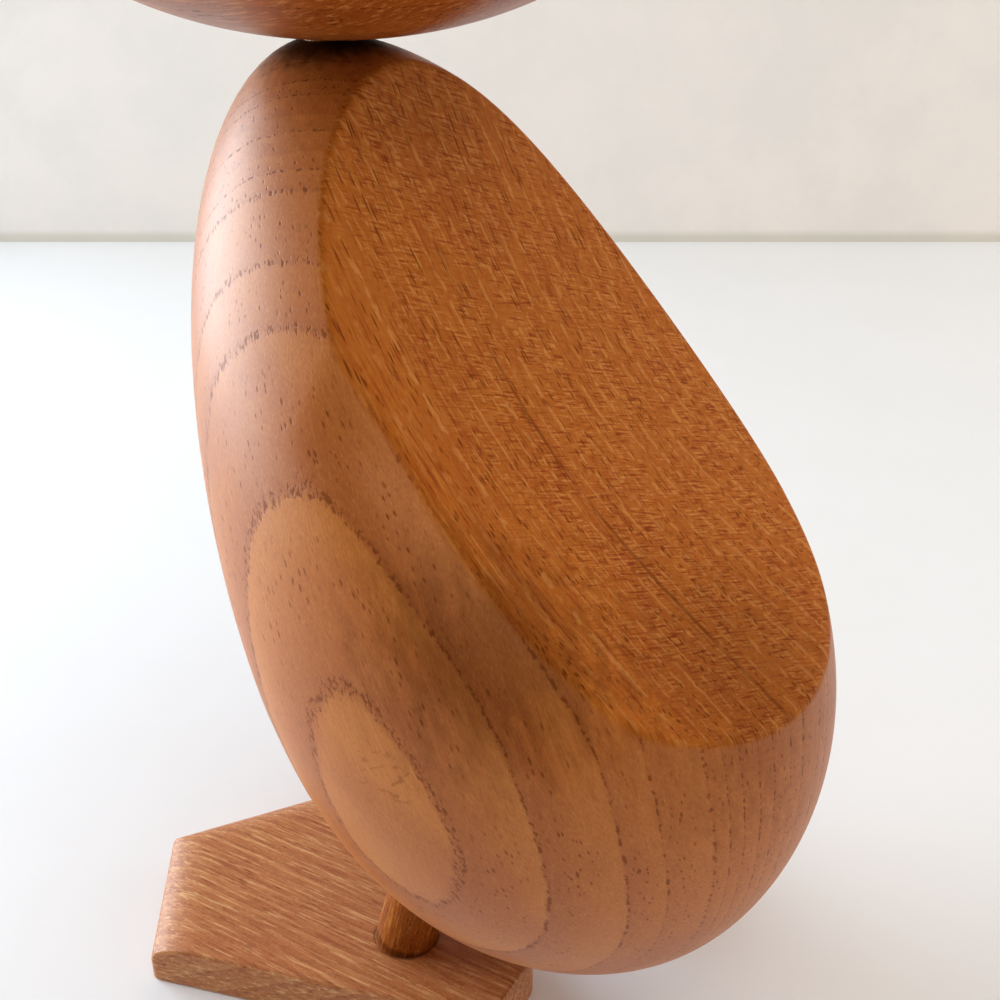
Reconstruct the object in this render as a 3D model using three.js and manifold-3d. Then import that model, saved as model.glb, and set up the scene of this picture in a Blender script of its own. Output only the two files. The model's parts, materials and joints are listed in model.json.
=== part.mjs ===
// A wooden bird figure of the creative-kokeshi kind: an egg-shaped body with a scooped back, a pebble
// head that turns on a neck dowel, a short bill, two inlaid eyes, and two dowel legs on webbed feet.
// Millimetres, +Z up. The figure faces -Y and its left side is +X. The origin is on the surface that
// it stands on, under the middle of its outline.
import * as THREE from "three";
import { mergeVertices } from "three/addons/utils/BufferGeometryUtils.js";
import Module from "manifold-3d";

const wasm = await Module();
wasm.setup();

// Clearance round a glued peg or a running fit, and between faces that meet.
const GAP = 0.3;

// How far a bar that cuts or joins runs past the face that it crosses.
const RUN_PAST = 3;

// Corners closer than this are one corner.
const SAME_CORNER = 1e-3;

// Body: a turned egg that leans forward, with its slender end up.
const BODY_RADIUS = 42;
const BODY_LEAN = THREE.MathUtils.degToRad(30.5);
const BODY_CENTRE = new THREE.Vector3(0, 9, 67.4); // middle of the widest section
const BLUNT_END = { length: 58.2, power: 2.37, root: 0.558 };
const SLENDER_END = { length: 87.7, power: 1.65, root: 0.536 };
const BODY_SIDES = 56;
const BLUNT_STEPS = 13;
const SLENDER_STEPS = 17;

// Back: scooped by a drum that lies across the body, its nearest point 26.5 mm from the body's centre.
const DRUM_RADIUS = 161;
const DRUM_RISE = THREE.MathUtils.degToRad(48.9); // how far above level the drum's centre lies
const DRUM_CLEAR = 26.5;
const DRUM_SIDES = 96;

// Head: half an ellipsoid above its widest level, and a flatter half below.
const HEAD_HALF_LENGTH = 52;
const HEAD_HALF_WIDTH = 43;
const HEAD_CROWN = 33;
const HEAD_JAW = 29;
const HEAD_SIDES = 56;
const HEAD_STEPS = 12; // above the widest level, and again below it

// Neck: the head sits on a small flat at the top of the body.
const SEAT_HEIGHT = 144.3;
const NECK_FORWARD = 27.6; // ahead of the leg line
const NECK_RADIUS = 4;
const NECK_IN_BODY = 16;
const NECK_IN_HEAD = 16;

// Bill: a flat tongue with a round tenon.
const BILL_HALF_WIDTH = 12;
const BILL_REACH = 17; // past the front of the head
const BILL_ROOT_DEPTH = 13;
const BILL_TIP_DEPTH = 5;
const BILL_DROP = 4; // below the widest level of the head
const TENON_RADIUS = 4;
const TENON_LENGTH = 12;
const TONGUE_STEPS = 10; // round the tip's plan
const NOSE_STEPS = 6; // round the tip's side

// Eyes: domed pegs let into the head.
const EYE_RADIUS = 2.6;
const EYE_DEPTH = 5;
const EYE_DOME = 1;
const EYE_TURN = THREE.MathUtils.degToRad(48); // from straight ahead
const EYE_RISE = 0.3; // share of the crown's height
const EYE_SIDES = 24;
const DOME_STEPS = 4;

// Legs: 10 mm dowels that lean in and back as they rise. The neck's dowel has as many sides.
const DOWEL_SIDES = 32;
const LEG_RADIUS = 5;
const LEG_SPREAD = 19.7; // from the middle to each leg, at the top of the foot
const LEG_LEAN = Math.tan(THREE.MathUtils.degToRad(10));
const LEG_ABOVE_FOOT = 36;
const LEG_IN_FOOT = 5;

// Feet: flat slabs, pointed in front and narrow at the heel, whose toes roll down.
const FOOT_THICKNESS = 8;
const FOOT_TOE = 51.6; // leg to the tip
const FOOT_WIDEST = 35.4; // leg to the two side corners
const FOOT_HALF_WIDTH = 23;
const FOOT_HEEL = 20.7; // leg to the heel
const HEEL_HALF_WIDTH = 8.3;
const HEEL_ROUND = 5;
const TOE_OUT = THREE.MathUtils.degToRad(10.5);
const TOE_EDGE = 4.4; // thickness left at the toe
const TOE_ROLL = 8; // width of the rolled band
const ROLL_STEPS = 5;
const HEEL_STEPS = 8;

const WOOD = { roughness: 0.5, metalness: 0 };
const OILED_WOOD = new THREE.MeshStandardMaterial({ color: 0xa86638, ...WOOD });
const HEAD_WOOD = new THREE.MeshStandardMaterial({ color: 0xa05f33, ...WOOD });
const FOOT_WOOD = new THREE.MeshStandardMaterial({ color: 0xb27f50, ...WOOD });
const DOWEL_WOOD = new THREE.MeshStandardMaterial({ color: 0x9a5f34, ...WOOD });
const DARK_WOOD = new THREE.MeshStandardMaterial({ color: 0x241812, roughness: 0.35, metalness: 0 });

// ---- solids and geometries ----

// A closed geometry as a manifold solid; collapsed triangles, as at a lathe's poles, are left out.
function solidOf(geometry) {
  const bare = new THREE.BufferGeometry();
  bare.setAttribute("position", geometry.getAttribute("position"));
  bare.setIndex(geometry.getIndex());
  const merged = mergeVertices(bare, SAME_CORNER);
  const corners = [];
  for (let i = 0; i < merged.index.count; i += 3) {
    const [a, b, c] = [0, 1, 2].map((k) => merged.index.getX(i + k));
    if (a !== b && b !== c && c !== a) corners.push(a, b, c);
  }
  const vertProperties = new Float32Array(merged.getAttribute("position").array);
  const triVerts = new Uint32Array(corners);
  return new wasm.Manifold(new wasm.Mesh({ numProp: 3, vertProperties, triVerts }));
}

function geometryOf(solid) {
  const { vertProperties, triVerts } = solid.getMesh();
  const indexed = new THREE.BufferGeometry();
  indexed.setAttribute("position", new THREE.BufferAttribute(vertProperties, 3));
  indexed.setIndex(new THREE.BufferAttribute(triVerts, 1));
  const geometry = indexed.toNonIndexed();
  geometry.computeVertexNormals();
  return geometry;
}

function moved(solid, matrix) {
  return solid.transform(matrix.elements);
}

function meshOf(name, solid, material) {
  const mesh = new THREE.Mesh(geometryOf(solid), material);
  mesh.name = name;
  return mesh;
}

// A solid turned about +Z from a profile of (radius, height) points.
function turned(profile, sides) {
  return solidOf(new THREE.LatheGeometry(profile, sides).rotateX(Math.PI / 2));
}

// A round bar along +Z between two heights.
function bar(radius, low, high, sides = DOWEL_SIDES) {
  const geometry = new THREE.CylinderGeometry(radius, radius, high - low, sides);
  geometry.rotateX(Math.PI / 2).translate(0, 0, (low + high) / 2);
  return solidOf(geometry);
}

// An outline in X and Y, raised from one height to another.
function slab(shape, low, high, curveSegments) {
  const options = { depth: high - low, bevelEnabled: false, curveSegments };
  return solidOf(new THREE.ExtrudeGeometry(shape, options).translate(0, 0, low));
}

// ---- placing ----

const bodyFrame = new THREE.Matrix4().makeRotationX(BODY_LEAN).setPosition(BODY_CENTRE);
const neckFrame = new THREE.Matrix4().makeTranslation(0, -NECK_FORWARD, SEAT_HEIGHT);
const headFrame = new THREE.Matrix4().makeTranslation(0, -NECK_FORWARD, SEAT_HEIGHT + GAP + HEAD_JAW);

// A frame whose +Z points along a direction.
function frameAlong(direction, origin) {
  const turn = new THREE.Quaternion().setFromUnitVectors(
    new THREE.Vector3(0, 0, 1),
    direction.clone().normalize(),
  );
  return new THREE.Matrix4().makeRotationFromQuaternion(turn).setPosition(origin);
}

// +Z of a leg's frame runs up the leg, from the top of its foot; side is +1 on the left.
function legFrame(side) {
  const direction = new THREE.Vector3(-side * LEG_LEAN, LEG_LEAN, 1);
  return frameAlong(direction, new THREE.Vector3(side * LEG_SPREAD, 0, FOOT_THICKNESS));
}

function footFrame(side) {
  return new THREE.Matrix4().makeRotationZ(side * TOE_OUT).setPosition(side * LEG_SPREAD, 0, 0);
}

// ---- body ----

// Points from the widest section to one end; heights run towards the end.
function eggEnd({ length, power, root }, steps) {
  const points = [];
  for (let i = 0; i <= steps; i += 1) {
    const reach = Math.sin((i / steps) * (Math.PI / 2));
    const radius = BODY_RADIUS * Math.pow(Math.max(0, 1 - Math.pow(reach, power)), root);
    points.push(new THREE.Vector2(i === steps ? 0 : radius, reach * length));
  }
  return points;
}

function egg() {
  const low = eggEnd(BLUNT_END, BLUNT_STEPS).map((p) => new THREE.Vector2(p.x, -p.y));
  const high = eggEnd(SLENDER_END, SLENDER_STEPS);
  return turned([...low.reverse(), ...high.slice(1)], BODY_SIDES);
}

// The drum that scoops the back, in the figure's frame.
function drum() {
  const reach = DRUM_CLEAR + DRUM_RADIUS;
  const across = new THREE.CylinderGeometry(DRUM_RADIUS, DRUM_RADIUS, 4 * BODY_RADIUS, DRUM_SIDES);
  across.rotateZ(Math.PI / 2);
  across.translate(0, Math.cos(DRUM_RISE) * reach, Math.sin(DRUM_RISE) * reach);
  return solidOf(across.translate(...BODY_CENTRE.toArray()));
}

// What the body loses above its seat, with the neck socket.
function neckCut() {
  const above = moved(bar(2 * NECK_RADIUS, 0, NECK_IN_BODY), neckFrame);
  return above.add(moved(bar(NECK_RADIUS + GAP, -NECK_IN_BODY - GAP, RUN_PAST), neckFrame));
}

function body() {
  let solid = moved(egg(), bodyFrame).subtract(drum()).subtract(neckCut());
  for (const side of [1, -1]) {
    const socket = bar(LEG_RADIUS + GAP, -LEG_IN_FOOT, LEG_ABOVE_FOOT + GAP);
    solid = solid.subtract(moved(socket, legFrame(side)));
  }
  return solid;
}

// ---- head ----

// The pebble, grown by a margin, about the middle of its widest level.
function pebble(margin = 0) {
  const profile = [];
  for (let i = -HEAD_STEPS; i <= HEAD_STEPS; i += 1) {
    const angle = (i / HEAD_STEPS) * (Math.PI / 2);
    const height = (i < 0 ? HEAD_JAW : HEAD_CROWN) + margin;
    const radius = Math.abs(i) === HEAD_STEPS ? 0 : Math.cos(angle);
    profile.push(new THREE.Vector2(radius, Math.sin(angle) * height));
  }
  const stretch = new THREE.Matrix4().makeScale(HEAD_HALF_WIDTH + margin, HEAD_HALF_LENGTH + margin, 1);
  return moved(turned(profile, HEAD_SIDES), stretch);
}

// An eye's frame: its origin lies on the pebble and +Z points straight out of it.
function eyeFrame(side) {
  const level = Math.sqrt(1 - EYE_RISE * EYE_RISE);
  const sideways = side * Math.sin(EYE_TURN) * level;
  const ahead = -Math.cos(EYE_TURN) * level;
  const half = new THREE.Vector3(HEAD_HALF_WIDTH, HEAD_HALF_LENGTH, HEAD_CROWN);
  const unit = new THREE.Vector3(sideways, ahead, EYE_RISE);
  return frameAlong(unit.clone().divide(half), unit.clone().multiply(half));
}

function eye() {
  const profile = [new THREE.Vector2(0, -EYE_DEPTH), new THREE.Vector2(EYE_RADIUS, -EYE_DEPTH)];
  for (let i = 0; i <= DOME_STEPS; i += 1) {
    const angle = (i / DOME_STEPS) * (Math.PI / 2);
    const radius = i === DOME_STEPS ? 0 : EYE_RADIUS * Math.cos(angle);
    profile.push(new THREE.Vector2(radius, EYE_DOME * Math.sin(angle)));
  }
  return turned(profile, EYE_SIDES);
}

// The bill's tenon, grown by a margin; it points ahead, in the head's frame.
function tenon(margin) {
  const forward = new THREE.Matrix4().makeRotationX(Math.PI / 2);
  forward.setPosition(0, -HEAD_HALF_LENGTH + TENON_LENGTH + margin, -BILL_DROP);
  return moved(bar(TENON_RADIUS + margin, 0, TENON_LENGTH + RUN_PAST), forward);
}

// The bill's plan, a tongue, crossed with its side, a wedge; both start inside the head.
function tongue() {
  const root = -HEAD_HALF_LENGTH + TENON_LENGTH;
  const tip = -HEAD_HALF_LENGTH - BILL_REACH;
  const plan = new THREE.Shape();
  plan.moveTo(-BILL_HALF_WIDTH, root);
  plan.lineTo(-BILL_HALF_WIDTH, tip + BILL_HALF_WIDTH);
  plan.absarc(0, tip + BILL_HALF_WIDTH, BILL_HALF_WIDTH, Math.PI, 2 * Math.PI, false);
  plan.lineTo(BILL_HALF_WIDTH, root);
  plan.closePath();

  const nose = BILL_TIP_DEPTH / 2;
  const side = new THREE.Shape();
  side.moveTo(root, -BILL_ROOT_DEPTH / 2);
  side.lineTo(root, BILL_ROOT_DEPTH / 2);
  side.lineTo(tip + nose, nose);
  side.absarc(tip + nose, 0, nose, Math.PI / 2, 1.5 * Math.PI, false);
  side.closePath();

  // The side outline's X runs along the figure's Y, its Y up, and its depth across.
  const upright = new THREE.Matrix4().set(0, 0, 1, 0, 1, 0, 0, 0, 0, 1, 0, 0, 0, 0, 0, 1);
  const wedge = moved(slab(side, -2 * BILL_HALF_WIDTH, 2 * BILL_HALF_WIDTH, NOSE_STEPS), upright);
  const both = slab(plan, -BILL_ROOT_DEPTH, BILL_ROOT_DEPTH, TONGUE_STEPS).intersect(wedge);
  return both.translate([0, 0, -BILL_DROP]);
}

function bill() {
  return tongue().subtract(pebble(GAP)).add(tenon(0));
}

function head() {
  const seat = -HEAD_JAW;
  let solid = pebble();
  solid = solid.subtract(bar(NECK_RADIUS + GAP, seat - RUN_PAST, seat + NECK_IN_HEAD + GAP));
  solid = solid.subtract(tenon(GAP));
  for (const side of [1, -1]) {
    const socket = bar(EYE_RADIUS + GAP, -EYE_DEPTH - GAP, RUN_PAST, EYE_SIDES);
    solid = solid.subtract(moved(socket, eyeFrame(side)));
  }
  return solid;
}

// ---- feet ----

// Half of the outline is drawn from the tip to the heel, and the other half mirrors it.
function footOutline() {
  const shape = new THREE.Shape();
  const heelX = HEEL_HALF_WIDTH;
  const heelSlope = (FOOT_HALF_WIDTH - heelX) / (FOOT_WIDEST + FOOT_HEEL);
  const roundX = heelX + heelSlope * HEEL_ROUND;
  shape.moveTo(0, -FOOT_TOE);
  shape.lineTo(FOOT_HALF_WIDTH, -FOOT_WIDEST);
  shape.lineTo(roundX, FOOT_HEEL - HEEL_ROUND);
  shape.quadraticCurveTo(heelX, FOOT_HEEL, heelX - HEEL_ROUND, FOOT_HEEL);
  shape.lineTo(-heelX + HEEL_ROUND, FOOT_HEEL);
  shape.quadraticCurveTo(-heelX, FOOT_HEEL, -roundX, FOOT_HEEL - HEEL_ROUND);
  shape.lineTo(-FOOT_HALF_WIDTH, -FOOT_WIDEST);
  shape.closePath();
  return shape;
}

// Everything above the quarter-ellipse that rolls one toe edge down; side picks the edge.
function toeRoll(side) {
  const drop = FOOT_THICKNESS - TOE_EDGE;
  const section = new THREE.Shape();
  section.moveTo(-TOE_ROLL, FOOT_THICKNESS + drop);
  section.lineTo(-TOE_ROLL, TOE_EDGE);
  for (let i = 0; i <= ROLL_STEPS; i += 1) {
    const angle = (i / ROLL_STEPS) * (Math.PI / 2);
    section.lineTo(TOE_ROLL * (1 - Math.cos(angle)), TOE_EDGE + drop * Math.sin(angle));
  }
  section.lineTo(TOE_ROLL, FOOT_THICKNESS + drop);
  section.closePath();

  // Section X points into the foot, section Y up, and the depth runs along the edge.
  const inward = new THREE.Vector3(-side * (FOOT_TOE - FOOT_WIDEST), FOOT_HALF_WIDTH, 0).normalize();
  const up = new THREE.Vector3(0, 0, 1);
  const along = new THREE.Vector3().crossVectors(inward, up);
  const frame = new THREE.Matrix4().makeBasis(inward, up, along);
  frame.setPosition(0, -FOOT_TOE, 0);
  return moved(slab(section, -2 * FOOT_TOE, 2 * FOOT_TOE, ROLL_STEPS), frame);
}

function foot(side) {
  const plain = slab(footOutline(), 0, FOOT_THICKNESS, HEEL_STEPS);
  const rolled = plain.subtract(toeRoll(1)).subtract(toeRoll(-1));
  const socket = moved(bar(LEG_RADIUS + GAP, -LEG_IN_FOOT - GAP, LEG_IN_FOOT), legFrame(side));
  return moved(rolled, footFrame(side)).subtract(socket);
}

// ---- the assembly ----

const figure = new THREE.Group();
figure.add(meshOf("body", body(), OILED_WOOD));

const neck = meshOf("neck_dowel", bar(NECK_RADIUS, -NECK_IN_BODY, NECK_IN_HEAD), DOWEL_WOOD);
neck.applyMatrix4(neckFrame);
figure.add(neck);

const headGroup = new THREE.Group();
headGroup.applyMatrix4(headFrame);
headGroup.add(meshOf("head", head(), HEAD_WOOD));
headGroup.add(meshOf("bill", bill(), DOWEL_WOOD));
figure.add(headGroup);

for (const [side, word] of [[1, "left"], [-1, "right"]]) {
  const eyeMesh = meshOf("eye_" + word, eye(), DARK_WOOD);
  eyeMesh.applyMatrix4(eyeFrame(side));
  headGroup.add(eyeMesh);

  const leg = meshOf("leg_" + word, bar(LEG_RADIUS, -LEG_IN_FOOT, LEG_ABOVE_FOOT), DOWEL_WOOD);
  leg.applyMatrix4(legFrame(side));
  figure.add(leg);

  figure.add(meshOf("foot_" + word, foot(side), FOOT_WOOD));
}

// Bring the middle of the outline over the origin.
const outline = new THREE.Box3().setFromObject(figure);
figure.position.y = -outline.getCenter(new THREE.Vector3()).y;

export default figure;
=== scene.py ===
"""Looks for the wooden bird figure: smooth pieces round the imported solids, solid-wood materials
whose growth rings, pores and rays run through each piece, and a pale studio.

Lengths in this script are in millimetres; a mesh is scaled to metres as it is made, and a material
reads object coordinates scaled to millimetres. The figure faces -Y and its left side is +X.
"""

import json
import math

import bpy
import numpy as np
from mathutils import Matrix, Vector


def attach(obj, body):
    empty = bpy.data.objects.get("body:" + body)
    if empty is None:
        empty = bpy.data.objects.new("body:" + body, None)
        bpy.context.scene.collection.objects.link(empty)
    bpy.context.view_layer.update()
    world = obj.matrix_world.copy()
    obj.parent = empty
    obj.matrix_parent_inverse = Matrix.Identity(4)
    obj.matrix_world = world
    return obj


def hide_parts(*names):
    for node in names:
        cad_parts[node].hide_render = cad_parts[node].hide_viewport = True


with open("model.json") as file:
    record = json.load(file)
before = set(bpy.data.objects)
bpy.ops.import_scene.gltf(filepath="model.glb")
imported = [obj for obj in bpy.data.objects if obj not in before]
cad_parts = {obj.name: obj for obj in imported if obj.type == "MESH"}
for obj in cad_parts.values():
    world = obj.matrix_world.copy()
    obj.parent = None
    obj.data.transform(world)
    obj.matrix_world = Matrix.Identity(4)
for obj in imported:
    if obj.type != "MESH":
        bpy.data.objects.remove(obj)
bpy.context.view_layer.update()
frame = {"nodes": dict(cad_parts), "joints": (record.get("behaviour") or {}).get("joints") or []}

MM = 0.001

# ---- driving dimensions, as in the solid model ----

NECK_FORWARD = 27.6  # from the leg line to the neck's axis
NECK_Y = frame["joints"][0]["pos_m"][1] / MM
LEG_LINE = NECK_Y + NECK_FORWARD

BODY_RADIUS = 42.0
BODY_LEAN = math.radians(30.5)
BODY_CENTRE = np.array([0.0, 9.0 + LEG_LINE, 67.4])
BODY_AXIS = np.array([0.0, -math.sin(BODY_LEAN), math.cos(BODY_LEAN)])
BLUNT_END = (58.2, 2.37, 0.558)  # length, power, root
SLENDER_END = (87.7, 1.65, 0.536)
DRUM_RADIUS = 161.0
DRUM_RISE = math.radians(48.9)
DRUM_CLEAR = 26.5
SCOOP_NORMAL = np.array([0.0, math.cos(DRUM_RISE), math.sin(DRUM_RISE)])
RIM_CRISP = 0.6  # width over which the scoop's rim is rounded
RIM_SOFT = 10.0  # the same where it is sanded away, low on the left flank
RIM_SOFT_BELOW = 116.0  # the sanding starts below this height
RIM_SOFT_FALL = 16.0  # and is at its full width this much lower
RIM_SOFT_LEFT = 22.0  # it starts this far to the left
RIM_SOFT_REACH = 10.0  # and is at its full width this much further out
SEAT_HEIGHT = 144.3
GAP = 0.3
SEAT_PROUD = 0.35  # the seat stands this much nearer the head than the solid one's
SEAT_ROUND = 0.8
INSET = 0.1  # keeps the smooth egg inside the facets of the solid one

HEAD_HALF = (43.0, 52.0)
HEAD_CROWN = 33.0
HEAD_JAW = 29.0
HEAD_FLAT = 0.2  # height planed off under the head
HEAD_FLAT_LIFT = 0.04  # softens the edge of the flat
HEAD_CENTRE = np.array([0.0, NECK_Y, SEAT_HEIGHT + GAP + HEAD_JAW])

BILL_HALF_WIDTH = 12.0
BILL_REACH = 17.0
BILL_ROOT_DEPTH = 13.0
BILL_TIP_DEPTH = 5.0
BILL_DROP = 4.0
BILL_INSIDE = 11.0  # how far its sides run on inside the head
BILL_SQUARENESS = 2.6
BILL_BLUNTNESS = 0.8  # length of the rounded tip, as a share of its depth

EYE_RADIUS = 2.6
EYE_DOME = 1.0
EYE_DEPTH = 5.0
EYE_TURN = math.radians(48)
EYE_RISE = 0.3

LEG_RADIUS = 5.0
LEG_SPREAD = 19.7
LEG_LEAN = math.tan(math.radians(10))
LEG_ABOVE_FOOT = 36.0
LEG_IN_FOOT = 5.0

FOOT_THICKNESS = 8.0
FOOT_TOE = 51.6
FOOT_WIDEST = 35.4
FOOT_HALF_WIDTH = 23.0
FOOT_HEEL = 20.7
HEEL_HALF_WIDTH = 8.3
HEEL_ROUND = 5.0
TOE_TIP_ROUND = 0.9
TOE_SIDE_ROUND = 1.2
TOE_OUT = math.radians(10.5)
TOE_EDGE = 4.4
TOE_ROLL = 8.0
FOOT_EDGE = 0.7  # radius of the edges round the sole and the top
FOOT_MIDDLE = (0.0, -12.0)  # where the rings of its mesh close up

# ---- the camera ----

CAMERA_PLACE = (130.4, 135.16, 168.78)
CAMERA_TURN = math.radians(130.55)
CAMERA_PITCH = math.radians(26.85)  # below level
CAMERA_LENS = 46.76
SENSOR_WIDTH = 36.0
CLIP_METRES = (0.005, 50.0)
WALL_DISTANCE = 604.0  # level distance from the camera to the backdrop


def make_camera():
    """The camera, above the figure and behind it at its left."""
    data = bpy.data.cameras.new("camera")
    data.lens = CAMERA_LENS
    data.sensor_width = SENSOR_WIDTH
    data.clip_start, data.clip_end = CLIP_METRES
    camera = bpy.data.objects.new("camera", data)
    camera.location = Vector(CAMERA_PLACE) * MM
    camera.rotation_euler = (math.pi / 2 - CAMERA_PITCH, 0.0, CAMERA_TURN)
    bpy.context.scene.collection.objects.link(camera)
    bpy.context.scene.camera = camera


# ---- mesh making ----


def unit(v):
    v = np.asarray(v, float)
    return v / np.linalg.norm(v)


def basis_along(direction):
    """Three unit vectors as columns; the third is the direction."""
    w = unit(direction)
    u = unit(np.cross([0.0, 1.0, 0.0] if abs(w[1]) < 0.9 else [1.0, 0.0, 0.0], w))
    return np.stack([u, np.cross(w, u), w], axis=1)


def turns(count):
    """Equal angles once round."""
    return np.arange(count) * 2 * math.pi / count


def make_piece(name, points, faces, body, node):
    """A smooth-shaded piece from points in millimetres; it stands for one CAD node."""
    mesh = bpy.data.meshes.new(name)
    mesh.from_pydata((np.asarray(points) * MM).tolist(), [], faces)
    mesh.validate()
    mesh.shade_smooth()
    piece = bpy.data.objects.new(name, mesh)
    bpy.context.scene.collection.objects.link(piece)
    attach(piece, body)
    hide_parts(node)
    return piece


def skin(rings):
    """Points and faces of a closed surface: a start point, rings of equal count, an end point."""
    first, *middle, last = rings
    count = len(middle[0])
    points = np.vstack([first, *middle, last])
    faces = []
    for j in range(count):
        faces.append((0, 1 + j, 1 + (j + 1) % count))
    for i in range(len(middle) - 1):
        low = 1 + i * count
        for j in range(count):
            k = (j + 1) % count
            faces.append((low + j, low + count + j, low + count + k, low + k))
    low = 1 + (len(middle) - 1) * count
    end = low + count
    for j in range(count):
        faces.append((low + j, end, low + (j + 1) % count))
    return points, faces


def outward(points, faces):
    """The same faces, turned round if they enclose a negative volume."""
    volume = 0.0
    for face in faces:
        for i in range(1, len(face) - 1):
            a, b, c = points[face[0]], points[face[i]], points[face[i + 1]]
            volume += np.dot(a, np.cross(b, c))
    return faces if volume > 0 else [tuple(reversed(f)) for f in faces]


def eased(share):
    """Nought to one, with level ends."""
    share = np.clip(share, 0.0, 1.0)
    return share * share * (3 - 2 * share)


def blended_max(a, b, width):
    """The larger of two fields, rounded off where they are within a width of each other."""
    share = np.maximum(width - np.abs(a - b), 0.0) / width
    return np.maximum(a, b) + share * share * width / 4


# ---- body ----

BISECTIONS = 40
FARTHEST = 130.0  # no point of the body is this far from its centre
RIM_SEARCH = (5.0, 120.0)  # degrees from the scoop's middle, between which its rim lies
RIM_BAND = (0.0, 0.1, 0.2, 0.32, 0.5, 0.75, 1.1, 1.6, 2.3)  # degrees from the rim to each row


def egg_field(p):
    """Below zero inside the turned egg."""
    d = p - BODY_CENTRE
    along = d @ BODY_AXIS
    across = np.linalg.norm(d - along[..., None] * BODY_AXIS, axis=-1)
    radius = np.zeros_like(along)
    for length, power, root, chosen in (
        (*BLUNT_END, along < 0),
        (*SLENDER_END, along >= 0),
    ):
        reach = np.clip(np.abs(along) / length, 0.0, 1.0)
        end = BODY_RADIUS * (1 - reach**power) ** root
        # Past the end's tip the field keeps growing with distance.
        end = end - np.maximum(np.abs(along) - length, 0.0)
        radius = np.where(chosen, end, radius)
    return across - radius + INSET


def scoop_field(p):
    """Below zero outside the drum that scooped the back."""
    centre = BODY_CENTRE + SCOOP_NORMAL * (DRUM_CLEAR + DRUM_RADIUS)
    return DRUM_RADIUS - np.hypot(p[..., 1] - centre[1], p[..., 2] - centre[2])


def rim_width(p):
    """How wide the scoop's rim is rounded: crisp, but sanded away low on the left flank."""
    low = eased((RIM_SOFT_BELOW - p[..., 2]) / RIM_SOFT_FALL)
    side = eased((p[..., 0] - RIM_SOFT_LEFT) / RIM_SOFT_REACH)
    return RIM_CRISP + (RIM_SOFT - RIM_CRISP) * low * side


def body_field(p):
    """Below zero inside the finished body."""
    scooped = blended_max(egg_field(p), scoop_field(p), rim_width(p))
    return blended_max(scooped, p[..., 2] - SEAT_HEIGHT - SEAT_PROUD, SEAT_ROUND)


def bisected(holds, low, high):
    """Where a test that holds at each low end, and fails at each high end, stops holding."""
    for _ in range(BISECTIONS):
        middle = (low + high) / 2
        held = holds(middle)
        low = np.where(held, middle, low)
        high = np.where(held, high, middle)
    return (low + high) / 2


def surface_distance(directions, field):
    """Distance from the body's centre to the surface along each direction."""
    def inside(reach):
        return field(BODY_CENTRE + directions * reach[..., None]) < 0

    shape = directions.shape[:-1]
    return bisected(inside, np.zeros(shape), np.full(shape, FARTHEST))


def surface_points(directions):
    """The points of the body's surface along the directions."""
    return BODY_CENTRE + directions * surface_distance(directions, body_field)[..., None]


def body_mesh(columns=300, scoop_rows=64, egg_rows=104):
    """Rows run from the middle of the scoop to its rim, and on round the egg to the far side."""
    frame_axes = basis_along(SCOOP_NORMAL)
    turn = turns(columns)

    def directions(polar):
        x = np.sin(polar) * np.cos(turn)
        y = np.sin(polar) * np.sin(turn)
        return np.stack([x, y, np.cos(polar)], axis=-1) @ frame_axes.T

    def on_scoop(polar):
        d = directions(polar)
        reach = surface_distance(d, lambda p: np.maximum(egg_field(p), scoop_field(p)))
        p = BODY_CENTRE + d * reach[:, None]
        return scoop_field(p) > egg_field(p)

    rim = bisected(on_scoop, *(np.full(columns, math.radians(end)) for end in RIM_SEARCH))
    band = np.radians(RIM_BAND)
    inner, outer = rim - band[-1], rim + band[-1]
    polars = [inner * i / scoop_rows for i in range(1, scoop_rows)]
    polars += [rim - step for step in band[::-1]]
    polars += [rim + step for step in band[1:]]
    polars += [outer + (math.pi - outer) * i / egg_rows for i in range(1, egg_rows)]

    poles = (directions(np.full(columns, pole))[:1] for pole in (0.0, math.pi))
    start, end = (surface_points(pole) for pole in poles)
    return skin([start, *(surface_points(directions(polar)) for polar in polars), end])


# ---- head, bill and eyes ----

FLAT_RINGS = (0.5, 0.93)  # shares of the flat's own outline
EYE_STEPS = 16
EYE_SIDES = 64


def head_mesh(columns=240, rows=150):
    """A pebble with a small flat under it; its rings run from the flat up to the crown."""
    turn = turns(columns)

    def ring(share, height):
        x = HEAD_HALF[0] * share * np.cos(turn)
        y = HEAD_HALF[1] * share * np.sin(turn)
        return HEAD_CENTRE + np.stack([x, y, np.full(columns, height)], axis=-1)

    flat = math.asin(1 - HEAD_FLAT / HEAD_JAW)
    under = HEAD_FLAT - HEAD_JAW
    rings = [HEAD_CENTRE + [[0.0, 0.0, under]]]
    rings += [ring(math.cos(flat) * share, under) for share in FLAT_RINGS]
    for i, angle in enumerate(np.linspace(-flat, math.pi / 2, rows)[:-1]):
        half = HEAD_JAW if angle < 0 else HEAD_CROWN
        lift = HEAD_FLAT_LIFT if i == 0 else 0.0
        rings.append(ring(math.cos(angle), half * math.sin(angle) + lift))
    rings.append(HEAD_CENTRE + [[0.0, 0.0, HEAD_CROWN]])
    return skin(rings)


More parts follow.
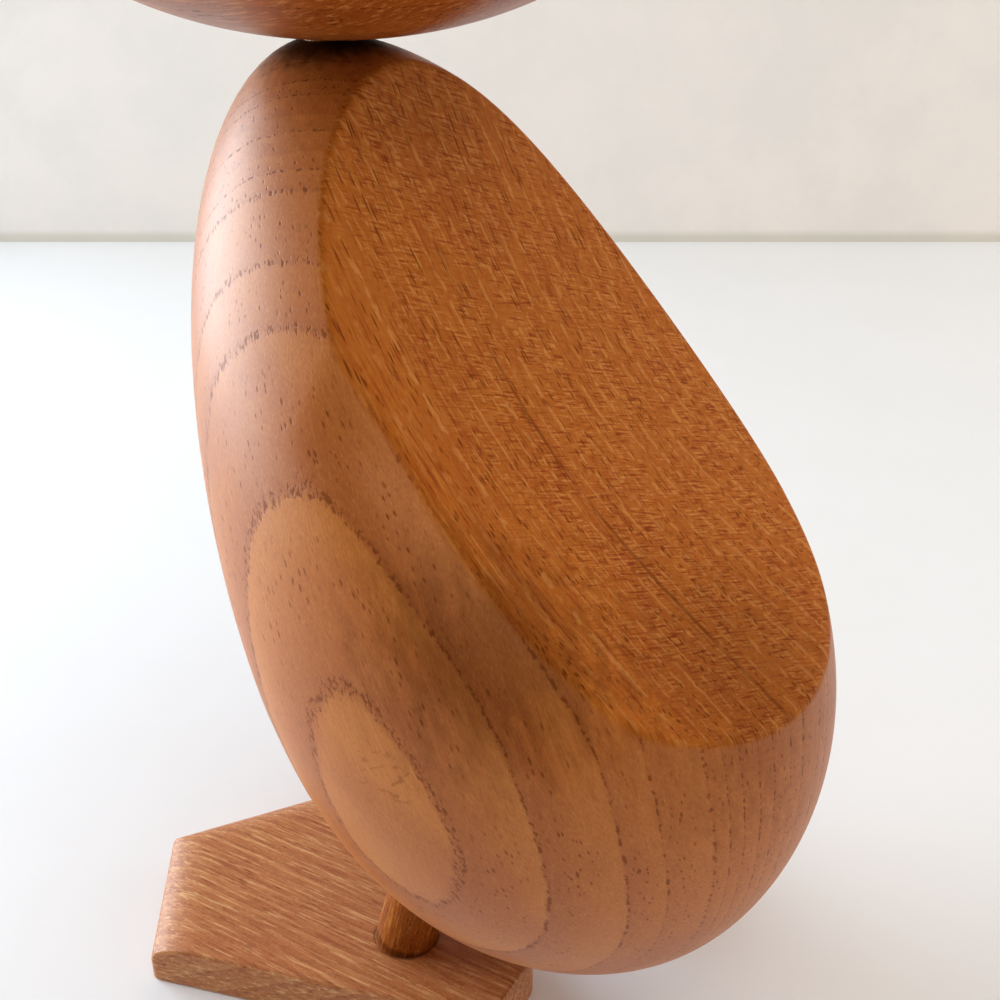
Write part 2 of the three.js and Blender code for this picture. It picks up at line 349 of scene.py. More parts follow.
def bill_mesh(columns=72, rows=60):
    """A tongue of rounded-square sections that narrows and thins to a round tip."""
    cos, sin = np.cos(turns(columns)), np.sin(turns(columns))
    shape_x = np.sign(cos) * np.abs(cos) ** (2 / BILL_SQUARENESS)
    shape_z = np.sign(sin) * np.abs(sin) ** (2 / BILL_SQUARENESS)
    root = HEAD_CENTRE[1] - HEAD_HALF[1] + BILL_INSIDE
    tip = HEAD_CENTRE[1] - HEAD_HALF[1] - BILL_REACH
    level = HEAD_CENTRE[2] - BILL_DROP
    rings = [np.array([[0.0, root, level]])]
    for i in range(rows):
        share = math.sin(i / rows * math.pi / 2)
        y = root + (tip - root) * share
        to_tip = y - tip
        ahead = np.clip(1 - to_tip / BILL_HALF_WIDTH, 0.0, 1.0)
        half_width = BILL_HALF_WIDTH * math.sqrt(1 - ahead**2)
        taper = (BILL_TIP_DEPTH + (BILL_ROOT_DEPTH - BILL_TIP_DEPTH) * to_tip / (root - tip)) / 2
        blunt = np.clip(1 - to_tip / (BILL_TIP_DEPTH * BILL_BLUNTNESS), 0.0, 1.0)
        half_depth = taper * math.sqrt(max(1 - blunt**2, 0.0))
        x, z = half_width * shape_x, level + half_depth * shape_z
        rings.append(np.stack([x, np.full(columns, y), z], axis=-1))
    rings.append(np.array([[0.0, tip, level]]))
    return skin(rings)


def eye_place(side):
    """Where an eye sits on the head, and the direction it faces."""
    level = math.sqrt(1 - EYE_RISE**2)
    on_ball = np.array([side * math.sin(EYE_TURN) * level, -math.cos(EYE_TURN) * level, EYE_RISE])
    half = np.array([*HEAD_HALF, HEAD_CROWN])
    return HEAD_CENTRE + on_ball * half, unit(on_ball / half)


def turned_rings(profile, columns, place, axis):
    """Rings of a turned piece from (radius, height) pairs between two points on the axis."""
    axes = basis_along(axis)
    turn = turns(columns)
    rings = []
    for i, (radius, height) in enumerate(profile):
        if i in (0, len(profile) - 1):
            local = np.array([[0.0, 0.0, height]])
        else:
            local = np.stack(
                [radius * np.cos(turn), radius * np.sin(turn), np.full(columns, height)], axis=-1
            )
        rings.append(place + local @ axes.T)
    return rings


def eye_mesh(side):
    place, axis = eye_place(side)
    profile = [(0.0, -EYE_DEPTH), (EYE_RADIUS, -EYE_DEPTH)]
    for i in range(EYE_STEPS + 1):
        angle = i / EYE_STEPS * math.pi / 2
        profile.append((EYE_RADIUS * math.cos(angle), EYE_DOME * math.sin(angle)))
    return skin(turned_rings(profile, EYE_SIDES, place, axis))


# ---- legs and feet ----

LEG_SIDES = 96
LEG_ROWS = 60
CORNER_STEPS = 8
OUTLINE_STEP = 1.1
FACE_SHARES = (0.06, 1.0, 40)  # rings on the sole and the top: innermost, outermost, count
FACE_INSETS = (0.0, 0.05, 0.15, 0.3, 0.5, 0.7, 1.1, 1.7, 2.4)  # rings near the edges
SIDE_ROWS = 8


def leg_mesh(side):
    """A dowel; its ends are hidden in the foot and the body."""
    axis = np.array([-side * LEG_LEAN, LEG_LEAN, 1.0])
    place = np.array([side * LEG_SPREAD, LEG_LINE, FOOT_THICKNESS])
    profile = [(0.0, -LEG_IN_FOOT), (LEG_RADIUS, -LEG_IN_FOOT)]
    for i in range(1, LEG_ROWS):
        height = -LEG_IN_FOOT + (LEG_ABOVE_FOOT + LEG_IN_FOOT) * i / LEG_ROWS
        profile.append((LEG_RADIUS, height))
    profile += [(LEG_RADIUS, LEG_ABOVE_FOOT), (0.0, LEG_ABOVE_FOOT)]
    return skin(turned_rings(profile, LEG_SIDES, place, axis))


def rounded_corner(before, corner, after, radius):
    """Points of a circular arc that rounds one corner of an outline."""
    to_before, to_after = unit(before - corner), unit(after - corner)
    half = math.acos(np.clip(np.dot(to_before, to_after), -1, 1)) / 2
    start = corner + to_before * radius / math.tan(half)
    finish = corner + to_after * radius / math.tan(half)
    middle = corner + unit(to_before + to_after) * radius / math.sin(half)
    a, b = start - middle, finish - middle
    opening = math.acos(np.clip(np.dot(unit(a), unit(b)), -1, 1))
    points = []
    for i in range(CORNER_STEPS + 1):
        s = i / CORNER_STEPS
        spoke = (math.sin((1 - s) * opening) * a + math.sin(s * opening) * b) / math.sin(opening)
        points.append(middle + spoke)
    return points


def foot_outline():
    """The foot's plan, evenly filled in, from the tip round; the toes point to -Y."""
    corners = [
        (0.0, -FOOT_TOE, TOE_TIP_ROUND),
        (FOOT_HALF_WIDTH, -FOOT_WIDEST, TOE_SIDE_ROUND),
        (HEEL_HALF_WIDTH, FOOT_HEEL, HEEL_ROUND),
        (-HEEL_HALF_WIDTH, FOOT_HEEL, HEEL_ROUND),
        (-FOOT_HALF_WIDTH, -FOOT_WIDEST, TOE_SIDE_ROUND),
    ]
    arcs = []
    for i, (x, y, radius) in enumerate(corners):
        before = np.array(corners[i - 1][:2])
        after = np.array(corners[(i + 1) % len(corners)][:2])
        arcs.append(rounded_corner(before, np.array([x, y]), after, radius))
    points = []
    for i, arc in enumerate(arcs):
        points += arc
        start, finish = arc[-1], arcs[(i + 1) % len(arcs)][0]
        fill = int(np.linalg.norm(finish - start) / OUTLINE_STEP)
        for k in range(1, fill):
            points.append(start + (finish - start) * k / fill)
    return np.array(points)


def foot_top(plan):
    """Height of the top face, rolled down along both toe edges."""
    height = np.full(len(plan), FOOT_THICKNESS)
    for side in (1, -1):
        inward = unit([-side * (FOOT_TOE - FOOT_WIDEST), FOOT_HALF_WIDTH])
        depth = (plan - [0.0, -FOOT_TOE]) @ inward
        share = np.clip(1 - depth / TOE_ROLL, 0.0, 1.0)
        drop = FOOT_THICKNESS - TOE_EDGE
        height = np.minimum(height, TOE_EDGE + drop * np.sqrt(1 - share**2))
    return height


def foot_mesh(side):
    """Rings run out over the sole, up the side and in again over the top."""
    outline = foot_outline()
    spokes = outline - FOOT_MIDDLE
    reach = np.linalg.norm(spokes, axis=1)[:, None]

    def plan_at(inset, share=1.0):
        return FOOT_MIDDLE + spokes * (1 - inset / reach) * share

    def ring(plan, height):
        return np.column_stack([plan, np.broadcast_to(height, len(plan))])

    def rounding(inset):
        """How far a face falls away where its edge is rounded."""
        return FOOT_EDGE - math.sqrt(FOOT_EDGE**2 - max(FOOT_EDGE - inset, 0.0) ** 2)

    face_plans = [plan_at(FACE_INSETS[-1], share) for share in np.linspace(*FACE_SHARES)[:-1]]
    edge_plans = [(plan_at(inset), rounding(inset)) for inset in FACE_INSETS]
    top_edge = foot_top(outline) - FOOT_EDGE

    rings = [np.array([[*FOOT_MIDDLE, 0.0]])]
    rings += [ring(plan, 0.0) for plan in face_plans]
    rings += [ring(plan, fall) for plan, fall in edge_plans[::-1]]
    for i in range(1, SIDE_ROWS):
        rings.append(ring(outline, FOOT_EDGE + (top_edge - FOOT_EDGE) * i / SIDE_ROWS))
    rings += [ring(plan, foot_top(plan) - fall) for plan, fall in edge_plans]
    rings += [ring(plan, foot_top(plan)) for plan in face_plans[::-1]]
    rings.append(np.array([[*FOOT_MIDDLE, FOOT_THICKNESS]]))

    points, faces = skin(rings)
    cos, sin = math.cos(side * TOE_OUT), math.sin(side * TOE_OUT)
    turn = np.array([[cos, -sin, 0.0], [sin, cos, 0.0], [0.0, 0.0, 1.0]])
    return points @ turn.T + [side * LEG_SPREAD, LEG_LINE, 0.0], faces


# ---- node trees ----


class Tree:
    """Short calls that add shader nodes; an input is a number, a tuple or another node's output."""

    def __init__(self, material):
        material.use_nodes = True
        self.nodes = material.node_tree.nodes
        self.links = material.node_tree.links
        self.nodes.clear()

    def node(self, kind, inputs=(), **settings):
        node = self.nodes.new(kind)
        for key, value in settings.items():
            setattr(node, key, value)
        for key, value in dict(inputs).items():
            self.feed(node.inputs[key], value)
        return node

    def feed(self, socket, value):
        if isinstance(value, bpy.types.NodeSocket):
            self.links.new(value, socket)
        else:
            socket.default_value = value

    def math(self, operation, *values):
        return self.node("ShaderNodeMath", enumerate(values), operation=operation).outputs[0]

    def vector(self, operation, *values):
        node = self.node("ShaderNodeVectorMath", enumerate(values), operation=operation)
        return node.outputs["Value" if operation in ("DOT_PRODUCT", "LENGTH") else "Vector"]

    def combine(self, x, y, z):
        return self.node("ShaderNodeCombineXYZ", enumerate((x, y, z))).outputs[0]

    def noise(self, vector, scale=1.0, detail=2.0, roughness=0.5):
        inputs = {"Vector": vector, "Scale": scale, "Detail": detail, "Roughness": roughness}
        return self.node("ShaderNodeTexNoise", inputs).outputs["Fac"]

    def cells(self, vector):
        """Distance to the nearest random cell point, and that cell's random colour."""
        node = self.node("ShaderNodeTexVoronoi", {"Vector": vector, "Scale": 1.0})
        return node.outputs["Distance"], node.outputs["Color"]

    def between(self, value, low, high, to_low=0.0, to_high=1.0, smooth=True):
        """A value's place between two bounds, eased, mapped to a new range."""
        node = self.node("ShaderNodeMapRange", {
            "Value": value, "From Min": low, "From Max": high, "To Min": to_low, "To Max": to_high,
        })
        node.interpolation_type = "SMOOTHSTEP" if smooth else "LINEAR"
        return node.outputs["Result"]

    def ramp(self, value, stops):
        """A colour ramp from (place, colour) pairs; a colour is a grey level or three numbers."""
        node = self.node("ShaderNodeValToRGB", {"Fac": value})
        elements = node.color_ramp.elements
        while len(elements) < len(stops):
            elements.new(0.5)
        # Moving an element can reorder them, so the colours come after all the places.
        for element, (place, _) in zip(elements, stops):
            element.position = place
        for element, (_, colour) in zip(elements, stops):
            rgb = (colour,) * 3 if isinstance(colour, (int, float)) else colour
            element.color = (*rgb, 1.0)
        return node.outputs["Color"]

    def mix(self, share, a, b, blend="MIX"):
        node = self.node("ShaderNodeMix", data_type="RGBA", blend_type=blend)
        self.feed(node.inputs[0], share)
        for socket, value in ((node.inputs[6], a), (node.inputs[7], b)):
            value = (*value, 1.0) if isinstance(value, tuple) and len(value) == 3 else value
            self.feed(socket, value)
        return node.outputs[2]

    def finish(self, colour, roughness, height, bump, distance, **more):
        """A principled surface; the height is turned to bumps this many metres deep."""
        shader = self.node("ShaderNodeBsdfPrincipled")
        self.feed(shader.inputs["Base Color"], colour)
        self.feed(shader.inputs["Roughness"], roughness)
        for key, value in more.items():
            self.feed(shader.inputs[key.replace("_", " ")], value)
        inputs = {"Strength": bump, "Distance": distance, "Height": height}
        bumps = self.node("ShaderNodeBump", inputs)
        self.links.new(bumps.outputs["Normal"], shader.inputs["Normal"])
        out = self.node("ShaderNodeOutputMaterial")
        self.links.new(shader.outputs[0], out.inputs["Surface"])


def millimetres(tree):
    """Object coordinates in millimetres."""
    place = tree.node("ShaderNodeTexCoord").outputs["Object"]
    return tree.vector("MULTIPLY", place, (1 / MM,) * 3)


# ---- wood ----

# Ring lines on the body, counted inwards from its left flank; past the last they repeat at a pitch.
RING_LINES = (0.75, 3.5, 7.7, 10.3, 14.1, 15.4, 16.7, 18.3, 19.7, 21.7)
FAINT_LINES = (6, 8)  # these show only low on the body
BOLD_LINE = len(RING_LINES) - 1  # the ring whose line shows all the way down the scoop
RING_BEFORE = 4.0  # from an uncounted line, out in the air, to the first one
RING_SPREAD = (2.2, 1.6, 2.6, 1.9, 2.4)
RING_COUNT = 30
RING_PITCH = 2.1
FIRST_EVEN_RING = 40.0  # keeps an evenly pitched piece's ring numbers above zero

# Grain sizes in mm: across the rings, along them, and along the grain.
WANDER_SIZE = (9.0, 9.0, 45.0)
RAGGED_SIZE = (1.6, 1.6, 5.0)
CLOUD_SIZE = (11.0, 17.0, 26.0)
FIBRE_SIZE = (0.2, 0.2, 4.0)
RAY_SIZE = (1.6, 0.2, 0.55)
CROWD_SIZE = (5.0, 8.0, 14.0)
SMUDGE_SIZE = (2.8, 2.0, 0.9)
NICK_SIZE = (0.45, 0.6, 5.5)
NICK_PATCH_SIZE = (3.0, 8.0, 20.0)
BREAK_SIZE = (3.0, 3.0, 14.0)
SPECK_SIZE = (7.0, 11.0, 26.0)
WANDER = 0.4
RAGGEDNESS = 0.3

# Rows of pores along a ring line: each dash's length round the ring and along the grain.
DASH_AROUND = 0.5
DASH_ALONG = 1.0
LANE_STEP = 7.31  # keeps one line's dashes unlike the next one's
PORE_EDGE = (0.5, 1.3)  # a pore fades out between these shares of its size

# Marks on the scoop, in mm across it and down it.
RAY_SKEW = 0.425  # how far the rays climb the scoop for each mm to the left
ACROSS_MARK = (2.3, 0.36)
TICK_MARK = (0.40, 2.0)
THREAD_MARK = (0.9, 9.0)
STREAK_MARK = (0.42, 7.0)
DASH_MARK = (1.6, 2.4)
BEND_MARK = (2.5, 2.0)
WEAVE_PATCH = (5.0, 11.0)
STREAK_PATCH = (5.0, 16.0)
COLUMNS_PER_RING = 1.5

# Gloss: the tint of light reflected square on, and what differs on the scoop.
WARM_VEIL = (1.0, 0.50, 0.16)
SCOOP_LEVEL = 0.18
SCOOP_ROUGHNESS = 0.55
SCOOP_CONTRAST = 0.14
SCOOP_RAYS = 0.1
SCOOP_ROWS = 0.25
SCOOP_LIT = 0.58
SCOOP_DIM = 0.38
SCOOP_EDGE = (0.9, 0.15)  # how near the drum, in mm, the scoop's looks start and are full
GLUE_AND_SHADE_TONE = 0.3  # of the pore colour: the darkest colour of glue round a joint and of painted shade
BUMP_HEIGHT = 0.0001  # metres


def ring_phase(tree, depth):
    """Counts ring lines: a whole number on each line, and evenly between."""
    lines = [RING_LINES[0] - RING_BEFORE, *RING_LINES]
    while len(lines) < RING_COUNT:
        lines.append(lines[-1] + RING_SPREAD[len(lines) % len(RING_SPREAD)])
    span = lines[-1] - lines[0]
    place = tree.between(depth, lines[0], lines[-1], smooth=False)
    stops = [((line - lines[0]) / span, i / (RING_COUNT - 1)) for i, line in enumerate(lines)]
    within = tree.math("MULTIPLY_ADD", tree.ramp(place, stops), RING_COUNT - 1, -1.0)
    past = tree.math("MAXIMUM", tree.math("SUBTRACT", depth, lines[-1]), 0.0)
    return tree.math("MULTIPLY_ADD", past, 1 / RING_PITCH, within)


def scoop_mask(tree, place):
    """One on the scooped face of the body, and zero on the rest of it."""
    centre = BODY_CENTRE + SCOOP_NORMAL * (DRUM_CLEAR + DRUM_RADIUS)
    off = tree.vector("SUBTRACT", place, tuple(centre))
    flat = tree.vector("MULTIPLY", off, (0.0, 1.0, 1.0))
    depth = tree.math("SUBTRACT", tree.vector("LENGTH", flat), DRUM_RADIUS)
    return tree.between(depth, *SCOOP_EDGE)


def scoop_marks(tree, whole, a, depth, columns):
    """Light and dark marks on the scoop: (lit, dim), each from nought to one.

    Streaks run down its left; rays cross columns of light dashes like a weave on its right.
    """
    down = tuple(np.cross([1.0, 0.0, 0.0], SCOOP_NORMAL))
    s = tree.vector("DOT_PRODUCT", whole, down)
    skewed = tree.math("MULTIPLY_ADD", a, -RAY_SKEW, s)

    def weave(mark, detail=1.0, down_axis=s):
        width, length = mark
        spot = tree.combine(
            tree.math("DIVIDE", a, width), tree.math("DIVIDE", down_axis, length), 0.0
        )
        return tree.noise(spot, detail=detail)

    rightwards = tree.between(depth, 8.0, 20.0)
    patches = tree.between(weave(WEAVE_PATCH), 0.34, 0.56, 0.35, 1.0)
    woven = tree.math("MULTIPLY", patches, rightwards)
    across = weave(ACROSS_MARK, down_axis=skewed)
    ticks = weave(TICK_MARK)
    threads = weave(THREAD_MARK, detail=2.0)
    streak = weave(STREAK_MARK, detail=2.0)
    streaked = tree.between(weave(STREAK_PATCH), 0.40, 0.60, 0.4, 1.0)
    leftwards = tree.math("MULTIPLY", tree.between(rightwards, 0.0, 1.0, 1.0, 0.35), streaked)

    # Columns of light dashes stand at even steps between the ring lines.
    sway = tree.math("SUBTRACT", weave(BEND_MARK), 0.5)
    column = tree.math("FRACT", tree.math("MULTIPLY_ADD", sway, 0.22, columns))
    column = tree.math("ABSOLUTE", tree.math("SUBTRACT", column, 0.5))
    between_columns = tree.between(column, 0.10, 0.24)
    dashes = tree.between(weave(DASH_MARK), 0.42, 0.54)
    column = tree.math("MULTIPLY", tree.between(column, 0.15, 0.05), dashes)
    column = tree.math("MULTIPLY", column, tree.between(depth, 6.0, 14.0, 0.0, 0.9))

    lit = tree.math("MULTIPLY", tree.between(across, 0.55, 0.66), between_columns)
    lit = tree.math("MULTIPLY", tree.math("MAXIMUM", lit, tree.between(ticks, 0.62, 0.72)), woven)
    lit = tree.math("MAXIMUM", lit, column)
    lit_streak = tree.math("MULTIPLY", tree.between(streak, 0.54, 0.70, 0.0, 0.8), leftwards)
    lit = tree.math("MAXIMUM", lit, lit_streak)
    dim = tree.math("MULTIPLY", tree.between(across, 0.44, 0.33), woven)
    dim_streak = tree.math("MULTIPLY", tree.between(streak, 0.46, 0.30), leftwards)
    dim = tree.math("MAXIMUM", dim, dim_streak)
    return lit, tree.math("MAXIMUM", dim, tree.between(threads, 0.40, 0.28, 0.0, 0.5))


def scoop_nicks(tree, at, g, number, off_line):
    """Vessels cut at a slant: dark nicks down the scoop, a few specks and one ring's long line."""
    nick, chance = tree.cells(at(*NICK_SIZE))
    kept = tree.between(tree.noise(at(*NICK_PATCH_SIZE)), 0.40, 0.58, 0.2, 0.9)
    nicks = tree.math("MULTIPLY", tree.between(nick, 0.20, 0.40, 1.0, 0.0), kept)
    nicks = tree.math("MULTIPLY", nicks, tree.between(chance, 0.35, 0.5))
    bold = tree.math("COMPARE", number, float(BOLD_LINE), 0.1)
    thin = tree.between(tree.math("ABSOLUTE", off_line), 0.08, 0.28, 0.75, 0.0)
    beside = tree.math("ABSOLUTE", tree.math("ADD", off_line, 0.55))
    beside = tree.between(beside, 0.03, 0.12, 0.4, 0.0)
    broken = tree.between(tree.noise(at(*BREAK_SIZE)), 0.35, 0.55, 0.35, 1.0)
    fading = tree.math("MULTIPLY", tree.between(g, 70.0, 30.0, 0.2, 1.0), broken)
    thin = tree.math("MULTIPLY", tree.math("MAXIMUM", thin, beside), fading)
    nicks = tree.math("MAXIMUM", nicks, tree.math("MULTIPLY", bold, thin))
    speck, _ = tree.cells(at(*SPECK_SIZE))
    return tree.math("MAXIMUM", nicks, tree.between(speck, 0.03, 0.05, 1.0, 0.0))


def pore_scatter(tree, at, pore_size, share, strength):
    """Fine pores, in patches, outside each ring line."""
    fine, chance = tree.cells(at(*pore_size))
    crowd = tree.math("MULTIPLY", tree.between(share, 0.03, 0.2), tree.between(share, 0.95, 0.45))
    patch = tree.between(tree.noise(at(*CROWD_SIZE)), 0.34, 0.54, 0.2, 1.0)
    size = tree.math("MULTIPLY_ADD", chance, 0.17, 0.13)
    pores = tree.between(tree.math("DIVIDE", fine, size), *PORE_EDGE, 0.75 * strength, 0.0)
    return tree.math("MULTIPLY", pores, tree.math("MULTIPLY", crowd, patch))


def pore_rows(tree, b, g, depth, number, off_line, strength, scooped):
    """Broken rows of merging pores, one on each ring line."""
    lane = tree.combine(
        tree.math("MULTIPLY", number, LANE_STEP),
        tree.math("DIVIDE", b, DASH_AROUND),
        tree.math("DIVIDE", g, DASH_ALONG),
    )
    dash = tree.noise(lane, detail=2.0, roughness=0.6)
    width = tree.between(dash, 0.42, 0.70, 0.025, 0.085)
    if scooped:
        # The rows are broader high on the body and away from its left flank.
        widening = tree.math("MAXIMUM", tree.between(g, 5.0, 35.0, 1.0, 1.8),
                             tree.between(depth, 9.0, 14.0, 1.0, 2.2))
        width = tree.math("MULTIPLY", width, widening)
    off = tree.math("DIVIDE", tree.math("ABSOLUTE", off_line), width)
    line = tree.between(off, *PORE_EDGE, 1.0, 0.0)
    row = tree.math("MULTIPLY", line, tree.between(dash, 0.46, 0.60, 0.0, strength))
    for faint in FAINT_LINES if scooped else ():
        hidden = tree.math("COMPARE", number, float(faint), 0.1)
        hidden = tree.math("MULTIPLY", hidden, tree.between(g, -5.0, 20.0))
        row = tree.math("MULTIPLY", row, tree.math("SUBTRACT", 1.0, hidden))
    return row


def wood(name, origin, grain, ring, palette, bends=(), pitch=None, pore=1.0, rows=0.7, rays=0.4,
         contrast=0.45, streaks=0.15, streak_size=(0.7, 1.2, 26.0), pore_size=(0.75, 0.75, 2.6),
         gloss=0.4, rough=0.42, veil=WARM_VEIL, scooped=False, stains_and_shade=(), smudge=None):
    """Solid wood: growth rings across the ring direction, pores and fibres along the grain.

    palette: late wood, middle, early wood, reddish cloud, pore and gleam colours.
    bends: (factor, letters) terms that bend the ring layers, such as (0.0036, "bb").
    pitch: even ring pitch in mm, or None for the body's own ring lines.
    pore, rows, rays, contrast, streaks: how strongly each kind of mark shows.
    veil: the tint of light reflected square on.
    scooped: the body, whose back is cut across its grain: that face is matt and shows its rays.
    stains_and_shade: (place, radius, reach, strength) of dark patches, which also dull the gloss:
    glue round a joint, or painted shade where one part shadows another or the surface turns from
    the light.
    smudge: the middle of a small patch of soft dark marks.
    """
    material = bpy.data.materials.new(name)
    tree = Tree(material)
    grain = unit(grain)
    ring = unit(np.asarray(ring) - np.dot(ring, grain) * grain)
    cross = np.cross(grain, ring)
    whole = millimetres(tree)
    place = tree.vector("SUBTRACT", whole, tuple(origin))
    a = tree.vector("DOT_PRODUCT", place, tuple(ring))
    b = tree.vector("DOT_PRODUCT", place, tuple(cross))
    g = tree.vector("DOT_PRODUCT", place, tuple(grain))
    scoop = scoop_mask(tree, whole) if scooped else 0.0

    def at(x, y, z):
        """A place in the wood's own directions, in units of a grain size."""
        return tree.combine(
            tree.math("DIVIDE", a, x), tree.math("DIVIDE", b, y), tree.math("DIVIDE", g, z)
        )

    def by_face(flank, back):
        """A value that differs between the scooped face and the rest."""
        if not scooped:
            return flank
        return tree.math("MULTIPLY_ADD", scoop, back - flank, flank)

    # Growth rings: layers across the ring direction, bent and tilted.
    axes = {"a": a, "b": b, "g": g}
    field = a
    for factor, letters in bends:
        term = axes[letters[0]]
        for letter in letters[1:]:
            term = tree.math("MULTIPLY", term, axes[letter])
        field = tree.math("MULTIPLY_ADD", term, factor, field)
    wander = tree.math("SUBTRACT", tree.noise(at(*WANDER_SIZE), detail=1.0), 0.5)
    ragged = tree.math("SUBTRACT", tree.noise(at(*RAGGED_SIZE), detail=2.0), 0.5)
    depth = tree.math("MULTIPLY", field, -1.0)
    depth = tree.math("MULTIPLY_ADD", wander, WANDER, depth)
    depth = tree.math("MULTIPLY_ADD", ragged, RAGGEDNESS, depth)
    if pitch is None:
        phase = ring_phase(tree, depth)
        pitch = RING_PITCH
        fading = tree.between(depth, 4.0, 11.0, 1.0, 0.35)
        contrast = tree.math("MULTIPLY", by_face(contrast, SCOOP_CONTRAST), fading)
    else:
        phase = tree.math("ADD", tree.math("DIVIDE", depth, pitch), FIRST_EVEN_RING)
    share = tree.math("FRACT", phase)
    number = tree.math("ROUND", phase)
    off_line = tree.math("MULTIPLY", tree.math("SUBTRACT", phase, number), pitch)

    late, middle, early, cloud, pore_colour, gleam = palette
    tone = tree.ramp(share, [(0.0, late), (0.08, late), (0.45, middle), (0.85, early),
                             (0.95, early), (1.0, late)])
    tone = tree.mix(contrast, middle, tone)

    # Colour drifts through the piece, and streaks run along the grain.
    clouds = tree.noise(at(*CLOUD_SIZE), detail=2.0, roughness=0.6)
    tone = tree.mix(tree.between(clouds, 0.45, 0.68, 0.0, 0.5), tone, cloud)
    streak = tree.noise(at(*streak_size), detail=3.0, roughness=0.65)
    tone = tree.mix(tree.between(streak, 0.52, 0.68, 0.0, streaks), tone, late)
    tone = tree.mix(tree.between(streak, 0.48, 0.32, 0.0, streaks), tone, gleam)
    fibre = tree.noise(at(*FIBRE_SIZE), detail=3.0, roughness=0.6)

    # Rays: thin ribbons that run from ring to ring.
    ray = tree.noise(at(*RAY_SIZE), detail=2.0, roughness=0.6)
    ray_share = by_face(rays, SCOOP_RAYS)
    lit = tree.math("MULTIPLY", tree.between(ray, 0.54, 0.70, 0.0, 0.5), ray_share)
    dim = tree.math("MULTIPLY", tree.between(ray, 0.46, 0.32, 0.0, 0.24), ray_share)
    if scooped:
        columns = tree.math("MULTIPLY", phase, COLUMNS_PER_RING)
        scoop_lit, scoop_dim = scoop_marks(tree, whole, a, depth, columns)
        scoop_lit = tree.math("MULTIPLY", scoop_lit, scoop)
        scoop_dim = tree.math("MULTIPLY", scoop_dim, scoop)
        lit = tree.math("MULTIPLY_ADD", scoop_lit, SCOOP_LIT, lit)
        dim = tree.math("MULTIPLY_ADD", scoop_dim, SCOOP_DIM, dim)
    tone = tree.mix(lit, tone, gleam)
    shade = tree.math("SUBTRACT", 1.0, dim)
    shade = tree.math("MULTIPLY", tree.between(fibre, 0.3, 0.7, 0.93, 1.07), shade)
    deep = tree.math("MULTIPLY", shade, shade)
    tone = tree.mix(1.0, tone, tree.combine(shade, deep, deep), "MULTIPLY")

    scatter = pore_scatter(tree, at, pore_size, share, pore)
    row = pore_rows(tree, b, g, depth, number, off_line, rows, scooped)
    any_pore = tree.math("MAXIMUM", scatter, tree.math("MULTIPLY", row, by_face(1.0, SCOOP_ROWS)))
    if scooped:
        nicks = scoop_nicks(tree, at, g, number, off_line)
        any_pore = tree.math("MAXIMUM", any_pore, tree.math("MULTIPLY", nicks, scoop))
    if smudge is not None:
        near = tree.vector("LENGTH", tree.vector("SUBTRACT", whole, smudge))
        soft = tree.between(tree.noise(at(*SMUDGE_SIZE)), 0.54, 0.68, 0.0, 0.4)
        soft = tree.math("MULTIPLY", soft, tree.between(near, 6.5, 3.0))
        any_pore = tree.math("MAXIMUM", any_pore, soft)
    tone = tree.mix(any_pore, tone, pore_colour)

    level = by_face(gloss, SCOOP_LEVEL)
    # Dark patches: glue round the legs' joints, and painted shade round the neck and low on the
    # scoop; each also dulls the gloss.
    for spot, radius, reach, strength in stains_and_shade:
        away = tree.vector("LENGTH", tree.vector("SUBTRACT", whole, tuple(spot)))
        away = tree.math("MULTIPLY_ADD", ragged, reach, away)
        dark = tree.between(away, radius, radius + reach, strength, 0.0)
        tone = tree.mix(dark, tone, tuple(GLUE_AND_SHADE_TONE * c for c in pore_colour))
        level = tree.math("MULTIPLY", level, tree.math("SUBTRACT", 1.0, dark))

    roughness = tree.math("MULTIPLY_ADD", fibre, 0.14, by_face(rough - 0.07, SCOOP_ROUGHNESS))
    relief = tree.math("SUBTRACT", lit, dim)
    height = tree.math("SUBTRACT", tree.math("MULTIPLY", fibre, 0.25), any_pore)
    height = tree.math("MULTIPLY_ADD", relief, 0.6, height)
    level = tree.math("MULTIPLY", level, tree.math("MULTIPLY_ADD", any_pore, -0.8, 1.0))
    tint = tree.mix(by_face(0.0, 1.0), veil, WARM_VEIL)
    tree.finish(tone, roughness, height, bump=0.3, distance=BUMP_HEIGHT, Specular_IOR_Level=level,
                Specular_Tint=tint)
    return material


BODY_GRAIN = tuple(BODY_AXIS)
BODY_RING = (0.993, 0.115, 0.001)
BODY_ORIGIN = (41.1, 39.7, 62.0)
BODY_BENDS = (
    (0.0036, "bb"), (-0.11, "g"), (0.0039, "gg"), (0.0032, "bg"), (-0.00019, "bbb"),
    (-0.000075, "bgg"), (-0.000034, "ggg"), (-0.015, "ab"), (-0.0028, "ag"),
)

# Late wood, middle, early wood, reddish cloud, pore and gleam.
BODY_PALETTE = (
    (0.300, 0.063, 0.006), (0.460, 0.122, 0.013), (0.590, 0.200, 0.033),
    (0.375, 0.082, 0.010), (0.175, 0.036, 0.004), (0.680, 0.290, 0.072),
)
HEAD_PALETTE = (
    (0.210, 0.040, 0.004), (0.310, 0.066, 0.006), (0.400, 0.105, 0.014),
    (0.240, 0.045, 0.005), (0.060, 0.010, 0.002), (0.540, 0.210, 0.055),
)
FOOT_PALETTE = (
    (0.290, 0.066, 0.014), (0.450, 0.155, 0.042), (0.590, 0.280, 0.100),
    (0.380, 0.105, 0.026), (0.150, 0.030, 0.008), (0.680, 0.380, 0.155),
)
DOWEL_PALETTE = (
    (0.150, 0.026, 0.003), (0.290, 0.066, 0.007), (0.400, 0.115, 0.014),
    (0.220, 0.044, 0.005), (0.060, 0.010, 0.002), (0.560, 0.210, 0.045),
)
